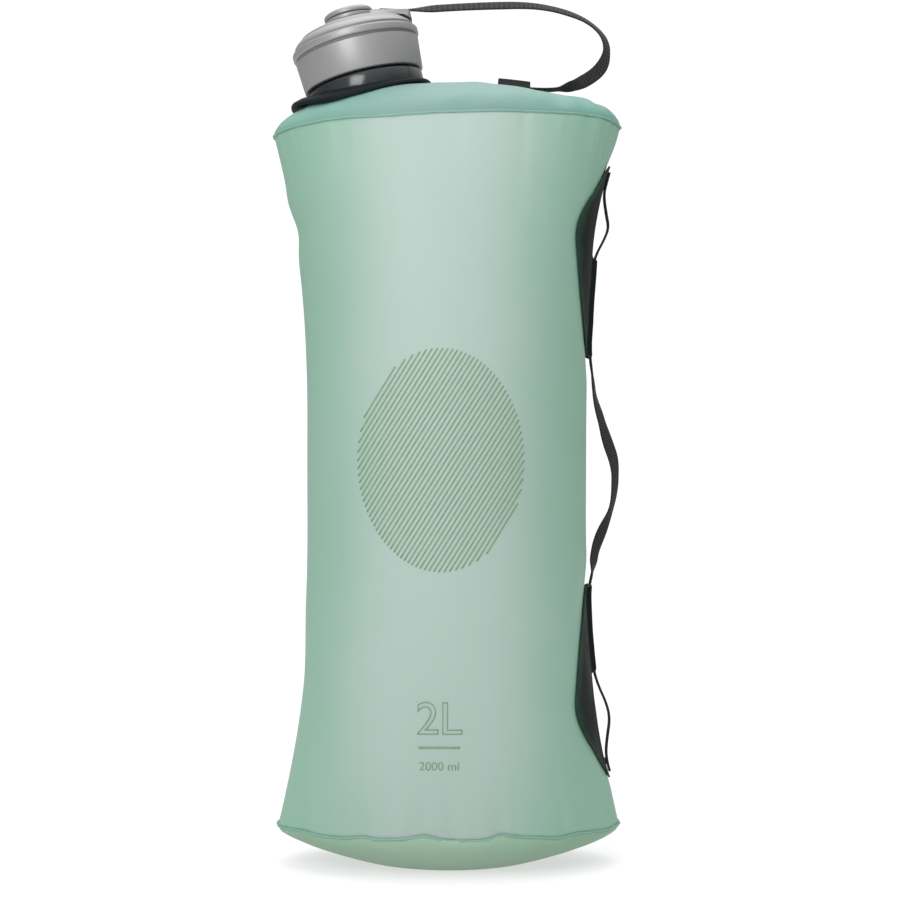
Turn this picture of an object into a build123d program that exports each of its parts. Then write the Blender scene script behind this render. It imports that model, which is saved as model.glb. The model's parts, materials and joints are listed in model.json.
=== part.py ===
"""A folding two-litre water bottle: a welded bag of soft film with a hard screw neck, a tethered cap and a side strap.

Millimetres. The origin is the middle of the foot on the surface it stands on, +Z is up, +X is the strap's side
and -Y is the printed front. The neck has a frame of its own, set on the top panel and leaning to -X.
"""
from build123d import *
from math import cos, pi, radians, sin, sqrt, tan
import os

# Bag: an hourglass with the same girth at every height, round at the waist and oval at the two seams.
FILM = 0.6
FOOT_FILM = 0.9
WAIST_RADIUS = 50.7
WAIST_Z = 145.0
END_HALF_WIDTH = 63.1
LOW_SEAM_Z = 14.3
TOP_SEAM_Z = 266.3
LOW_FLARE = 2.8
TOP_FLARE = 2.5
DOME_RISE = 16.5
FOOT_HALF_WIDTH = 31.0
FOOT_HALF_DEPTH = 18.0
FOOT_BEND = 1.7
WELD_PROUD = 0.8
WELD_HEIGHT = 2.4
BODY_GAP = 0.3
ABOVE = 40.0
WIDE = 200.0

# Neck, with its thread. Heights in the neck's frame start at the top panel's outer face.
NECK_X = -29.3
NECK_LEAN = 13.5
BORE_RADIUS = 16.5
NECK_RADIUS = 18.5
NECK_TOP = 13.4
MOUTH_CHAMFER = 0.5
NECK_BELOW = 3.6
TUBE_GAP = 0.05
FLANGE_RADIUS = 26.4
FLANGE_THICK = 2.2
FLANGE_SET_BACK = 1.7
COLLAR_RADIUS = 21.0
COLLAR_TOP = 3.5
COLLAR_TALL = 4.5
COLLAR_CHAMFER = 0.6
THREAD_PITCH = 4.0
THREAD_DEPTH = 1.1
THREAD_ROOT = 1.7
THREAD_CREST = 0.8
NECK_THREAD_START = 5.4
NECK_THREAD_RISE = 6.0
CAP_THREAD_START = 7.4
CAP_THREAD_RISE = 5.4

# Cap.
SKIRT_BOTTOM = 3.9
SKIRT_LOW_RADIUS = 22.0
SKIRT_TOP_RADIUS = 22.8
LIP_RADIUS = 23.3
LIP_LOW = 16.2
LIP_TOP = 19.4
STEP_RADIUS = 19.5
STEP_TOP = 23.1
CROWN_TOP = 26.2
CAP_BORE_RADIUS = 20.0
LINER_LOW = 15.2
LINER_TOP = 16.8
SEAL_GAP = 0.1

# Swivel that carries the leash, and the snap pin that holds it on the cap.
PIN_HEAD_RADIUS = 9.0
PIN_HEAD_LOW = 28.2
PIN_HEAD_TOP = 31.0
PIN_SHANK_RADIUS = 3.4
PIN_BOSS_RADIUS = 4.9
RING_BORE_RADIUS = 5.0
RING_RADIUS = 9.0
RING_LOW = 26.4
RING_TOP = 28.0
ARM_REACH = 22.2
ARM_WIDTH = 9.0

# Webbing, its bar tacks, and the bridge on the top panel.
LEASH_WIDTH = 5.0
LEASH_THICK = 0.9
STRAP_WIDTH = 4.2
STRAP_THICK = 1.0
TACK_LENGTH = 1.8
TACK_THICK = 0.5
TACK_GAP = 0.02
KEEPER_LOW_X = 18.7
KEEPER_HIGH_X = 30.3
KEEPER_HALF_WIDTH = 4.6
KEEPER_PROUD = 3.3
TUNNEL_TALL = 2.0
TUNNEL_SPARE = 0.6

# Side anchors: a leaf-shaped patch on the film, and a sleeve that the strap runs through.
PATCH_THICK = 0.6
SLEEVE_THICK = 0.6
SLEEVE_ROOM = 1.7
SLEEVE_HALF_WIDTH = 3.6
CHANNEL_HALF_WIDTH = 2.4
PATCH_HALF_WIDTH = 26.0
UPPER_PATCH = {"tip": 254.0, "widest": 231.5, "end": 184.3, "sleeve_start": 220.5}
LOWER_PATCH = {"tip": 30.6, "widest": 54.4, "end": 100.9, "sleeve_start": 68.9}

# Routes in the plane y = 0, as (x, z). The first runs from the cap's arm over to the top panel.
LEASH_ROUTE = [
    (-24.6, 311.1),
    (-13.4, 311.1),
    (2.0, 311.9),
    (16.5, 312.5),
    (30.5, 312.6),
    (42.0, 310.8),
    (52.5, 306.8),
    (59.0, 299.6),
    (57.6, 290.6),
    (50.5, 284.9),
    (41.5, 282.1),
    (33.0, 281.9),
    (24.5, 282.75),
    (15.0, 283.35),
    (8.4, 283.5),
]
HANDLE_ROUTE = [
    (54.4, 176.0),
    (56.6, 166.0),
    (60.6, 154.5),
    (62.0, 143.0),
    (61.2, 131.0),
    (57.4, 120.0),
    (53.8, 109.5),
]
UPPER_SLACK = [(58.0, 227.0), (60.2, 234.5), (61.0, 242.0)]
LOWER_SLACK = [(57.4, 61.5), (60.4, 53.0), (60.8, 45.5)]


def half_width(z):
    """Half the width of the film at height z."""
    if z > WAIST_Z:
        share, power = (z - WAIST_Z) / (TOP_SEAM_Z - WAIST_Z), TOP_FLARE
    else:
        share, power = (WAIST_Z - z) / (WAIST_Z - LOW_SEAM_Z), LOW_FLARE
    return WAIST_RADIUS + (END_HALF_WIDTH - WAIST_RADIUS) * share**power


def half_depth(width):
    """Half the depth of the oval of that half width whose girth is the waist's, by Ramanujan's formula."""
    depth = WAIST_RADIUS
    for _ in range(20):
        spread = ((width - depth) / (width + depth)) ** 2
        depth = 2 * WAIST_RADIUS / (1 + spread / 4) - width
    return depth


END_HALF_DEPTH = half_depth(END_HALF_WIDTH)


def oval(z, width, depth):
    return Plane.XY.offset(z) * Ellipse(width, depth)


def column(grown, low, high, steps=9):
    """The bag's side as a solid from low to high, grown outwards by that much."""
    levels = [low + (high - low) * i / (steps - 1) for i in range(steps)]
    ovals = []
    for z in levels:
        width = half_width(z)
        ovals.append(oval(z, width + grown, half_depth(width) + grown))
    return loft(ovals)


def dome(grown):
    """The top panel's outer form as a whole ellipsoid, grown outwards by that much."""
    size = (END_HALF_WIDTH + grown, END_HALF_DEPTH + grown, DOME_RISE + grown)
    return Pos(0, 0, TOP_SEAM_Z) * scale(Sphere(1), by=size)


def dome_z(x):
    """Height of the top panel's outer face on the plane y = 0."""
    return TOP_SEAM_Z + DOME_RISE * sqrt(1 - (x / END_HALF_WIDTH) ** 2)


def bowl(shrunk, lifted):
    """The bottom panel's form: a flat foot that curves up to the low seam."""
    rise = LOW_SEAM_Z - lifted
    ovals = []
    for i in range(7):
        turn = i / 6 * pi / 2
        share = sin(turn) ** FOOT_BEND
        width = FOOT_HALF_WIDTH + (END_HALF_WIDTH - FOOT_HALF_WIDTH) * share
        depth = FOOT_HALF_DEPTH + (END_HALF_DEPTH - FOOT_HALF_DEPTH) * share
        ovals.append(oval(lifted + rise * (1 - cos(turn)), width - shrunk, depth - shrunk))
    return loft(ovals)


def weld_band(middle_z):
    """The proud welded edge where a panel meets the sides."""
    outer = oval(middle_z - WELD_HEIGHT / 2, END_HALF_WIDTH + WELD_PROUD, END_HALF_DEPTH + WELD_PROUD)
    inner = oval(middle_z - WELD_HEIGHT / 2, END_HALF_WIDTH - FILM, END_HALF_DEPTH - FILM)
    return extrude(outer - inner, WELD_HEIGHT)


NECK = Location((NECK_X, 0, dome_z(NECK_X)), (0, -NECK_LEAN, 0))


def turned(points):
    """A solid of revolution about Z from its (radius, height) outline."""
    outline = Plane.XZ * make_face(Polyline(*points, close=True))
    return revolve(outline, Axis.Z)


def tube(outer, inner, low, high):
    return turned([(inner, low), (outer, low), (outer, high), (inner, high)])


def thread_ridge(radius, outwards, start, rise):
    """One ridge of the right-handed thread, on a wall of that radius."""
    sink = 0.15
    helix = Helix(THREAD_PITCH, rise, radius)
    base, crest = -sink * outwards, THREAD_DEPTH * outwards
    corners = [
        (base, -THREAD_ROOT / 2),
        (crest, -THREAD_CREST / 2),
        (crest, THREAD_CREST / 2),
        (base, THREAD_ROOT / 2),
    ]
    section = Plane(origin=helix @ 0, x_dir=(1, 0, 0), z_dir=helix % 0) * make_face(Polyline(*corners, close=True))
    return Pos(0, 0, start) * sweep(section, path=helix, is_frenet=True)


def ribbon(route, width, thick, name):
    """Flat webbing along a route in the plane y = 0: straight runs joined by the largest even arcs."""
    points = [Vector(x, 0, z) for x, z in route]
    radii = []
    for before, here, after in zip(points, points[1:], points[2:]):
        run_in, run_out = here - before, after - here
        turn = radians(run_in.get_angle(run_out))
        radii.append(0.45 * min(run_in.length, run_out.length) / tan(turn / 2))
    path = FilletPolyline(*points, radius=radii)
    print(name, "length", round(path.length, 1), "smallest radii", [round(r, 1) for r in sorted(radii)[:4]])
    section = Plane(origin=path @ 0, x_dir=(0, 1, 0), z_dir=path % 0) * Rectangle(width, thick)
    return sweep(section, path=path)


def side_panels():
    """The front and back film, each half of the hourglass, split at the two side welds."""
    low = LOW_SEAM_Z + WELD_HEIGHT / 2 + BODY_GAP
    high = TOP_SEAM_Z - WELD_HEIGHT / 2 - BODY_GAP
    film = column(0, low, high) - column(-FILM, low, high)
    cutter = Box(WIDE, WIDE, 2 * high)
    front = film & Pos(0, -(WIDE + BODY_GAP) / 2, 0) * cutter
    back = film & Pos(0, (WIDE + BODY_GAP) / 2, 0) * cutter
    return front, back


def above_top_seam():
    return Pos(0, 0, TOP_SEAM_Z + ABOVE / 2) * Box(WIDE, WIDE, ABOVE)


def top_panel():
    film = ((dome(0) - dome(-FILM)) & above_top_seam()) + weld_band(TOP_SEAM_Z)
    return film - NECK * Cylinder(NECK_RADIUS + TUBE_GAP, ABOVE)


def bottom_panel():
    """The bottom panel with its weld band."""
    film = bowl(0, 0) - bowl(FOOT_FILM, FOOT_FILM)
    return film + weld_band(LOW_SEAM_Z)


def neck_spout():
    """The hard neck: a flange that follows the top panel, a collar, a threaded tube and its sealing lip."""
    rim = NECK * Pos(-FLANGE_SET_BACK, 0, 0) * Cylinder(FLANGE_RADIUS, 2 * ABOVE)
    flange = (dome(FLANGE_THICK) - dome(0)) & rim & above_top_seam()
    outline = [
        (BORE_RADIUS, -NECK_BELOW),
        (NECK_RADIUS, -NECK_BELOW),
        (NECK_RADIUS, NECK_TOP - MOUTH_CHAMFER),
        (NECK_RADIUS - MOUTH_CHAMFER, NECK_TOP),
        (BORE_RADIUS, NECK_TOP),
    ]
    collar_outline = [
        (NECK_RADIUS - 1, -COLLAR_TALL),
        (COLLAR_RADIUS, -COLLAR_TALL),
        (COLLAR_RADIUS, COLLAR_TOP - COLLAR_CHAMFER),
        (COLLAR_RADIUS - COLLAR_CHAMFER, COLLAR_TOP),
        (NECK_RADIUS - 1, COLLAR_TOP),
    ]
    collar = NECK * turned(collar_outline) - dome(0)
    spout = turned(outline) + thread_ridge(NECK_RADIUS, 1, NECK_THREAD_START, NECK_THREAD_RISE)
    hollow = Cylinder(BORE_RADIUS, 2 * ABOVE)
    return NECK * spout + (flange - NECK * hollow) + collar


def cap_shell():
    """The cap: a tapered skirt, a lip over a shadow line, a stepped crown and the inner thread."""
    outline = [
        (CAP_BORE_RADIUS, SKIRT_BOTTOM),
        (SKIRT_LOW_RADIUS, SKIRT_BOTTOM),
        (SKIRT_TOP_RADIUS, LIP_LOW - 0.7),
        (SKIRT_TOP_RADIUS - 0.4, LIP_LOW - 0.3),
        (SKIRT_TOP_RADIUS - 0.4, LIP_LOW),
        (LIP_RADIUS, LIP_LOW),
        (LIP_RADIUS, LIP_TOP - 0.4),
        (LIP_RADIUS - 0.5, LIP_TOP + 0.2),
        (STEP_RADIUS + 1.6, STEP_TOP - 1.4),
        (STEP_RADIUS, STEP_TOP - 0.4),
        (STEP_RADIUS, STEP_TOP),
        (14.6, 24.9),
        (9.7, CROWN_TOP),
        (PIN_SHANK_RADIUS + 0.05, CROWN_TOP),
        (PIN_SHANK_RADIUS + 0.05, 24.2),
        (11.0, 23.6),
        (16.6, 21.4),
        (18.4, 18.8),
        (18.4, LINER_TOP),
        (CAP_BORE_RADIUS, LINER_TOP),
    ]
    return NECK * (turned(outline) + thread_ridge(CAP_BORE_RADIUS, -1, CAP_THREAD_START, CAP_THREAD_RISE))


def cap_liner():
    """The disc under the crown, with a plug that centres in the bore and a seat for the seal."""
    outline = [
        (0, LINER_LOW),
        (14.2, LINER_LOW),
        (14.2, 11.6),
        (15.6, 11.6),
        (15.9, LINER_LOW),
        (CAP_BORE_RADIUS - 0.1, LINER_LOW),
        (CAP_BORE_RADIUS - 0.1, LINER_TOP - 0.1),
        (0, LINER_TOP - 0.1),
    ]
    return NECK * turned(outline)


def cap_seal():
    return NECK * tube(19.2, 16.1, NECK_TOP + SEAL_GAP, LINER_LOW)


def swivel_pin():
    """The snap pin: a domed head, a boss that the swivel turns on, a shank and a barb inside the crown."""
    outline = [
        (0, 21.8),
        (3.0, 21.8),
        (4.3, 23.2),
        (4.3, 23.8),
        (PIN_SHANK_RADIUS, 24.1),
        (PIN_SHANK_RADIUS, CROWN_TOP),
        (PIN_BOSS_RADIUS, CROWN_TOP),
        (PIN_BOSS_RADIUS, PIN_HEAD_LOW),
        (PIN_HEAD_RADIUS - 0.3, PIN_HEAD_LOW),
        (PIN_HEAD_RADIUS, PIN_HEAD_LOW + 0.3),
        (PIN_HEAD_RADIUS, PIN_HEAD_LOW + 1.3),
        (PIN_HEAD_RADIUS - 0.6, PIN_HEAD_LOW + 2.1),
        (PIN_HEAD_RADIUS - 2.4, PIN_HEAD_TOP - 0.2),
        (0, PIN_HEAD_TOP),
    ]
    return NECK * turned(outline)


def leash_swivel():
    """The ring round the pin, with an arm that slopes down over the crown and carries the leash."""
    ring = tube(RING_RADIUS, RING_BORE_RADIUS, RING_LOW, RING_TOP)
    side = [
        (7.0, RING_LOW),
        (9.8, 26.6),
        (14.8, 25.35),
        (19.8, 23.7),
        (ARM_REACH, 21.7),
        (ARM_REACH, 24.9),
        (ARM_REACH - 0.6, 25.15),
        (9.8, 28.0),
        (7.0, RING_TOP),
    ]
    arm = extrude(Plane.XZ * make_face(Polyline(*side, close=True)), ARM_WIDTH / 2, both=True)
    return NECK * (ring + (arm - Cylinder(RING_BORE_RADIUS + 1, 2 * ABOVE)))


def leash_keeper():
    """A low bridge welded on the top panel, which the leash runs under."""
    length = KEEPER_HIGH_X - KEEPER_LOW_X
    middle = Pos((KEEPER_LOW_X + KEEPER_HIGH_X) / 2, 0, TOP_SEAM_Z + ABOVE / 2)
    block = middle * Box(length, 2 * KEEPER_HALF_WIDTH, ABOVE)
    tunnel = middle * Box(2 * length, LEASH_WIDTH + TUNNEL_SPARE, ABOVE)
    shell = (dome(KEEPER_PROUD) - dome(0)) & block
    return shell - ((dome(TUNNEL_TALL) - dome(0)) & tunnel)


def patch_outline(patch):
    """The leaf outline of a side patch in the plane x = 0, as (y, z)."""
    tip, widest, end = patch["tip"], patch["widest"], patch["end"]
    way = 1 if tip > end else -1
    sides = [(0.0, tip), (3.2, tip - 1.6 * way), (PATCH_HALF_WIDTH, widest + 3 * way)]
    sides += [(PATCH_HALF_WIDTH + 0.6, widest), (20.5, (widest + end) / 2), (4.6, end + 2 * way), (0.0, end)]
    other = [(-y, z) for y, z in reversed(sides[1:-1])]
    return sides + other


def side_anchor(patch):
    """A patch that follows the film round the strap's side, and the raised sleeve on it."""
    low = min(patch["tip"], patch["end"]) - 4
    high = max(patch["tip"], patch["end"]) + 4
    near = BODY_GAP
    faces = [near, near + PATCH_THICK, near + PATCH_THICK + SLEEVE_ROOM]
    faces.append(faces[-1] + SLEEVE_THICK)
    inner, patch_face, room_face, sleeve_face = [column(grown, low, high, 7) for grown in faces]
    leaf = extrude(Plane.YZ * make_face(Polyline(*patch_outline(patch), close=True)), WIDE)
    start, end = patch["sleeve_start"], patch["end"]
    middle, tall = (start + end) / 2, abs(start - end)
    sleeve = Pos(WIDE / 2, 0, middle) * Box(WIDE, 2 * SLEEVE_HALF_WIDTH, tall)
    channel = Pos(WIDE / 2, 0, middle) * Box(WIDE, 2 * CHANNEL_HALF_WIDTH, tall + 2)
    body = ((patch_face & leaf) + (sleeve_face & sleeve)) - inner
    return body - ((room_face - patch_face) & channel)


def sleeve_x(z):
    """Where the strap's middle runs inside a sleeve."""
    return half_width(z) + BODY_GAP + PATCH_THICK + SLEEVE_ROOM / 2


def strap_route():
    """The side strap's whole route: sewn at the upper tip, slack, sleeve, handle, sleeve, slack, sewn."""
    tip_gap = BODY_GAP + PATCH_THICK + STRAP_THICK / 2 + 0.15
    route = [(half_width(z) + tip_gap, z) for z in (251.5, 246.5)]
    route += reversed(UPPER_SLACK)
    route += [(sleeve_x(z), z) for z in (219.0, 208.0, 196.5, 186.0)]
    route += HANDLE_ROUTE
    route += [(sleeve_x(z), z) for z in (99.5, 89.0, 78.5, 70.0)]
    route += LOWER_SLACK
    route += [(half_width(z) + tip_gap, z) for z in (38.0, 33.0)]
    return route


def tack(x, z, width, lean):
    """One block of bar-tack stitching."""
    return Pos(x, 0, z) * Rot(0, lean, 0) * Box(TACK_LENGTH, width, TACK_THICK)


def strap_tacks():
    """The stitching at the side strap's two ends and at the leash's end on the top panel."""
    clear = TACK_THICK / 2 + TACK_GAP
    route = strap_route()
    ends = []
    for (x, z), way in ((route[0], 1), (route[-1], -1)):
        lean = 90 - 8 * way
        ends.append(tack(x + STRAP_THICK / 2 + clear, z - 1.6 * way, STRAP_WIDTH - 0.4, lean))
    x, z = LEASH_ROUTE[-1]
    ends.append(tack(x + 1.8, z + LEASH_THICK / 2 + clear, LEASH_WIDTH - 0.6, 1.5))
    return Compound(children=ends)


def swivel_tack():
    """The stitching that holds the leash to the swivel's arm."""
    x, z = LEASH_ROUTE[0]
    return tack(x + 2.0, z + LEASH_THICK / 2 + TACK_THICK / 2, LEASH_WIDTH - 0.6, 0)


def write(name, shape):
    export_step(shape, f"parts/{name}.step")


os.makedirs("parts", exist_ok=True)
front, back = side_panels()
write("front_panel", front)
write("back_panel", back)
write("top_panel", top_panel())
write("bottom_panel", bottom_panel())
write("neck_spout", neck_spout())
write("cap_shell", cap_shell())
write("cap_liner", cap_liner())
write("cap_seal", cap_seal())
write("swivel_pin", swivel_pin())
write("leash_swivel", leash_swivel())
write("leash_keeper", leash_keeper())
write("upper_anchor", side_anchor(UPPER_PATCH))
write("lower_anchor", side_anchor(LOWER_PATCH))
write("leash", ribbon(LEASH_ROUTE, LEASH_WIDTH, LEASH_THICK, "leash"))
write("side_strap", ribbon(strap_route(), STRAP_WIDTH, STRAP_THICK, "side strap"))
write("strap_tacks", strap_tacks())
write("swivel_tack", swivel_tack())
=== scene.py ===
import json
import math

import bmesh
import bpy
from mathutils import Matrix, Vector, noise


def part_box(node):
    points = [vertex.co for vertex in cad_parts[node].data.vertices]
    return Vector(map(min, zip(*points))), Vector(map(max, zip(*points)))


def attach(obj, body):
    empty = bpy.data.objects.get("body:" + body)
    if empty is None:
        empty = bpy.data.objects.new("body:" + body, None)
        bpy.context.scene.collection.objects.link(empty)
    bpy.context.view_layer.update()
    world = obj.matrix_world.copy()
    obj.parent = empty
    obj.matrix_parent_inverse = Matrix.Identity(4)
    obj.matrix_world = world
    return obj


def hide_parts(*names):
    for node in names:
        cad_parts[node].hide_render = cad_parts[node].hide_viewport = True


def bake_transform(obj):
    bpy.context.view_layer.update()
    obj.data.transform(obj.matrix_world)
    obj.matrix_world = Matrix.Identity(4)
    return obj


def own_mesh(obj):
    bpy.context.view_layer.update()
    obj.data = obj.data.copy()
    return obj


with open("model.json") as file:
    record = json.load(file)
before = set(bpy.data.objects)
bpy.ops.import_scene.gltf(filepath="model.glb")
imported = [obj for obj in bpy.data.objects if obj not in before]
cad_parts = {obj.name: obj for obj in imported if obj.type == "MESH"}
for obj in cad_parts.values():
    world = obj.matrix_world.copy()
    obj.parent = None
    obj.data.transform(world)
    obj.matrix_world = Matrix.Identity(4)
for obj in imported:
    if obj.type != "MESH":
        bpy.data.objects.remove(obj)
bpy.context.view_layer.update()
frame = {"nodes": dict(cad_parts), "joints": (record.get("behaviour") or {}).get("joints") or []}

MM = 0.001


# ---------------------------------------------------------------- sizes, read from the frame

front_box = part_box("front_panel")
top_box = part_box("top_panel")
foot_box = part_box("bottom_panel")
upper_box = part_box("upper_anchor")
lower_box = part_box("lower_anchor")
keeper_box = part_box("leash_keeper")

WELD_PROUD = 0.8 * MM
WELD_HEIGHT = 2.4 * MM
LOW_FLARE = 2.8
TOP_FLARE = 2.5
FILM = 0.5 * MM
FOOT_HALF_WIDTH = 31.0 * MM
FOOT_HALF_DEPTH = 18.0 * MM
FOOT_BEND = 1.9
FOOT_FLAT_SHARE = 0.3
FOOT_CURL = 2.1 * MM
FOOT_CURL_AT = 45 * MM
FOOT_LOWEST_X = 2.5 * MM

WAIST_RADIUS = -front_box[0].y
WAIST_Z = 145.0 * MM
END_HALF_WIDTH = top_box[1].x - WELD_PROUD
END_HALF_DEPTH = top_box[1].y - WELD_PROUD
TOP_SEAM_Z = top_box[0].z + WELD_HEIGHT / 2
LOW_SEAM_Z = foot_box[1].z - WELD_HEIGHT / 2
DOME_RISE = top_box[1].z - TOP_SEAM_Z

cap_turn = next(joint for joint in frame["joints"] if joint["name"] == "cap_turn")
NECK_BASE = Vector(cap_turn["pos_m"])
NECK_AXIS = Vector(cap_turn["axis"]).normalized()
NECK = Matrix.Translation(NECK_BASE) @ Vector((0, 0, 1)).rotation_difference(NECK_AXIS).to_matrix().to_4x4()

LEASH_WIDTH = 5.0 * MM
LEASH_THICK = 0.9 * MM
STRAP_WIDTH = 4.2 * MM
STRAP_THICK = 1.0 * MM
PATCH_GAP = 0.3 * MM
PATCH_THICK = 0.6 * MM
SLEEVE_ROOM = 1.7 * MM
UPPER_SLEEVE_Z = 220.5 * MM
LOWER_SLEEVE_Z = 68.9 * MM
WEAVE_REPEAT = 220 * MM
PRINT_LIFT = 0.06 * MM
PRINT_THICK = 0.05 * MM

# Screw thread and neck, in millimetres like the outlines that they belong to.
THREAD_PITCH = 4.0
THREAD_DEPTH = 1.1
THREAD_ROOT = 1.7
THREAD_CREST = 0.8
THREAD_SUNK = 0.15
NECK_RADIUS = 18.5
NECK_HOLE_RADIUS = 18.2
CAP_THREAD_RADIUS = 20.0
FLANGE_SET_BACK = 1.7
ARM_END = 22.2
ARM_HALF_WIDTH = 4.5


# ---------------------------------------------------------------- camera, stage and light

def add_camera():
    data = bpy.data.cameras.new("camera")
    data.sensor_width = 36.0
    data.lens = 73.9
    data.shift_y = 0.06
    camera = bpy.data.objects.new("camera", data)
    camera.location = (1.1 * MM, -676 * MM, 130.5 * MM)
    camera.rotation_euler = (math.pi / 2, 0, 0)
    bpy.context.collection.objects.link(camera)
    bpy.context.scene.camera = camera


def add_light(name, place, target, size, power):
    data = bpy.data.lights.new(name, "AREA")
    data.shape = "RECTANGLE"
    data.size, data.size_y = size
    data.energy = power
    light = bpy.data.objects.new(name, data)
    light.location = place
    light.rotation_euler = (Vector(target) - Vector(place)).to_track_quat("-Z", "Y").to_euler()
    bpy.context.collection.objects.link(light)


def add_world():
    """A white room for the camera. As light it is brightest overhead and in front, and dim at the sides."""
    world = bpy.data.worlds.new("studio")
    world.use_nodes = True
    f = Finish.of(world)
    right, away, up = f.parts(f.node("TexCoord", out="Generated"))
    overhead = f.band(up, 0.25, 0.95)
    ahead = f.band(0 - away - right * 0.25, 0.15, 1.0)
    level = 0.43 + overhead * 1.25 + ahead * 0.55
    light = f.node("Background", sockets={"Color": (1, 1, 1, 1), "Strength": level})
    white = f.node("Background", sockets={"Color": (1, 1, 1, 1), "Strength": 1.05})
    seen = f.node("LightPath", out="Is Camera Ray")
    f.node("OutputWorld", sockets={"Surface": f.node("MixShader", sockets={0: seen, 1: light, 2: white})})
    bpy.context.scene.world = world


# ---------------------------------------------------------------- shader wiring

class Wire:
    """A shader socket that takes part in arithmetic: each operation on it adds one Math node."""

    def __init__(self, finish, socket):
        self.finish = finish
        self.socket = socket

    def math(self, operation, *values):
        return self.finish.node("Math", sockets=dict(enumerate(values)), operation=operation)

    def __add__(self, other):
        return self.math("ADD", self, other)

    def __radd__(self, other):
        return self.math("ADD", other, self)

    def __sub__(self, other):
        return self.math("SUBTRACT", self, other)

    def __rsub__(self, other):
        return self.math("SUBTRACT", other, self)

    def __mul__(self, other):
        return self.math("MULTIPLY", self, other)

    def sine(self):
        return self.math("SINE", self)

    def size(self):
        return self.math("ABSOLUTE", self)


class Finish:
    """A material and its nodes."""

    def __init__(self, name):
        self.material = bpy.data.materials.new(name)
        self.material.use_nodes = True
        self.tree = self.material.node_tree
        self.tree.nodes.clear()

    @classmethod
    def of(cls, world):
        """The same wiring for a world's nodes."""
        made = cls.__new__(cls)
        made.material, made.tree = world, world.node_tree
        made.tree.nodes.clear()
        return made

    def node(self, kind, out=0, sockets=None, **settings):
        """A node of that kind: its settings first, then its sockets' values or links. Returns one output."""
        made = self.tree.nodes.new("ShaderNode" + kind)
        for name, value in settings.items():
            setattr(made, name, value)
        for key, value in (sockets or {}).items():
            if isinstance(value, Wire):
                self.tree.links.new(value.socket, made.inputs[key])
            else:
                made.inputs[key].default_value = value
        return Wire(self, made.outputs[out]) if made.outputs else None

    def place(self):
        """Where the point is on the object."""
        return self.node("TexCoord", out="Object")

    def uv(self):
        return self.node("TexCoord", out="UV")

    def parts(self, vector):
        """The three numbers of a vector."""
        split = self.node("SeparateXYZ", sockets={0: vector})
        outputs = split.socket.node.outputs
        return [Wire(self, outputs[i]) for i in range(3)]

    def noise(self, vector, scale, detail=2.0, rough=0.5):
        sockets = {"Vector": vector, "Scale": scale, "Detail": detail, "Roughness": rough}
        return self.node("TexNoise", sockets=sockets)

    def stretched(self, vector, scale):
        """The vector scaled by its own amount along each axis."""
        return self.node("Mapping", sockets={"Vector": vector, "Scale": scale})

    def band(self, value, low, high):
        """0 below low, 1 above high, smooth between."""
        sockets = {"Value": value, "From Min": low, "From Max": high}
        return self.node("MapRange", sockets=sockets, interpolation_type="SMOOTHSTEP")

    def mix(self, share, first, second):
        """A colour between two colours or colour links."""
        sockets = {0: share}
        for key, colour in ((6, first), (7, second)):
            sockets[key] = colour if isinstance(colour, Wire) else (*colour, 1)
        return self.node("Mix", out=2, sockets=sockets, data_type="RGBA")

    def bump(self, height, distance, strength=1.0):
        return self.node("Bump", sockets={"Height": height, "Distance": distance, "Strength": strength})

    def surface(self, **values):
        """The Principled shader with these sockets, joined to the output."""
        sockets = {}
        for name, value in values.items():
            key = name.replace("_", " ").title().replace("Ior", "IOR")
            is_colour = isinstance(value, tuple) and len(value) == 3
            sockets[key] = (*value, 1) if is_colour else value
        shader = self.node("BsdfPrincipled", sockets=sockets)
        self.node("OutputMaterial", sockets={"Surface": shader})
        return self.material


# ---------------------------------------------------------------- finishes

def film_finish(name, light, deep, through=0.35):
    """Frosted soft film. Its colour darkens towards the two sides and most at the very edges: painted shade
    for film seen edge-on.
    """
    f = Finish(name)
    place = f.place()
    cloud = f.noise(place, 16.0, 3.0, 0.55)
    streak = f.noise(f.stretched(place, (1.0, 1.0, 0.22)), 120.0, 3.0, 0.6)
    grain = f.noise(place, 2600.0, 2.0, 0.6)
    across, _, _ = f.parts(place)
    from_middle = (across + 0.002).size()
    # Painted shade: towards the sides the colour is mixed towards the darker second colour.
    side = f.band(from_middle + (cloud - 0.5) * 0.012, 0.004, 0.052)
    # Painted shade: a narrow, still darker band at the very edges.
    edge = f.band(from_middle, 0.044, 0.053)
    share = side * 0.84 + edge * 0.1 + (streak - 0.5) * 0.12 + (cloud - 0.5) * 0.3
    return f.surface(
        base_color=f.mix(f.band(share, 0.0, 1.0), light, deep),
        roughness=0.5 + grain * 0.1,
        ior=1.44,
        transmission_weight=through,
        normal=f.bump(grain * 0.3 + streak * 0.7, 0.00012, 0.6),
    )


def satin_plastic(name, light, deep, rough, metal=0.0):
    """Moulded plastic with a fine spark-eroded texture and slightly rubbed high spots."""
    f = Finish(name)
    place = f.place()
    cloud = f.noise(place, 60.0, 3.0, 0.6)
    grain = f.noise(place, 3800.0, 2.0, 0.7)
    scuff = f.noise(f.stretched(place, (1.0, 1.0, 6.0)), 260.0, 4.0, 0.65)
    tone = f.mix(cloud * 0.7 + scuff * 0.3, deep, light)
    return f.surface(
        base_color=tone,
        metallic=metal,
        roughness=rough + (scuff - 0.5) * 0.14 + (grain - 0.5) * 0.05,
        normal=f.bump(grain * 0.5 + scuff * 0.2, 0.00005, 0.5),
    )


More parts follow.
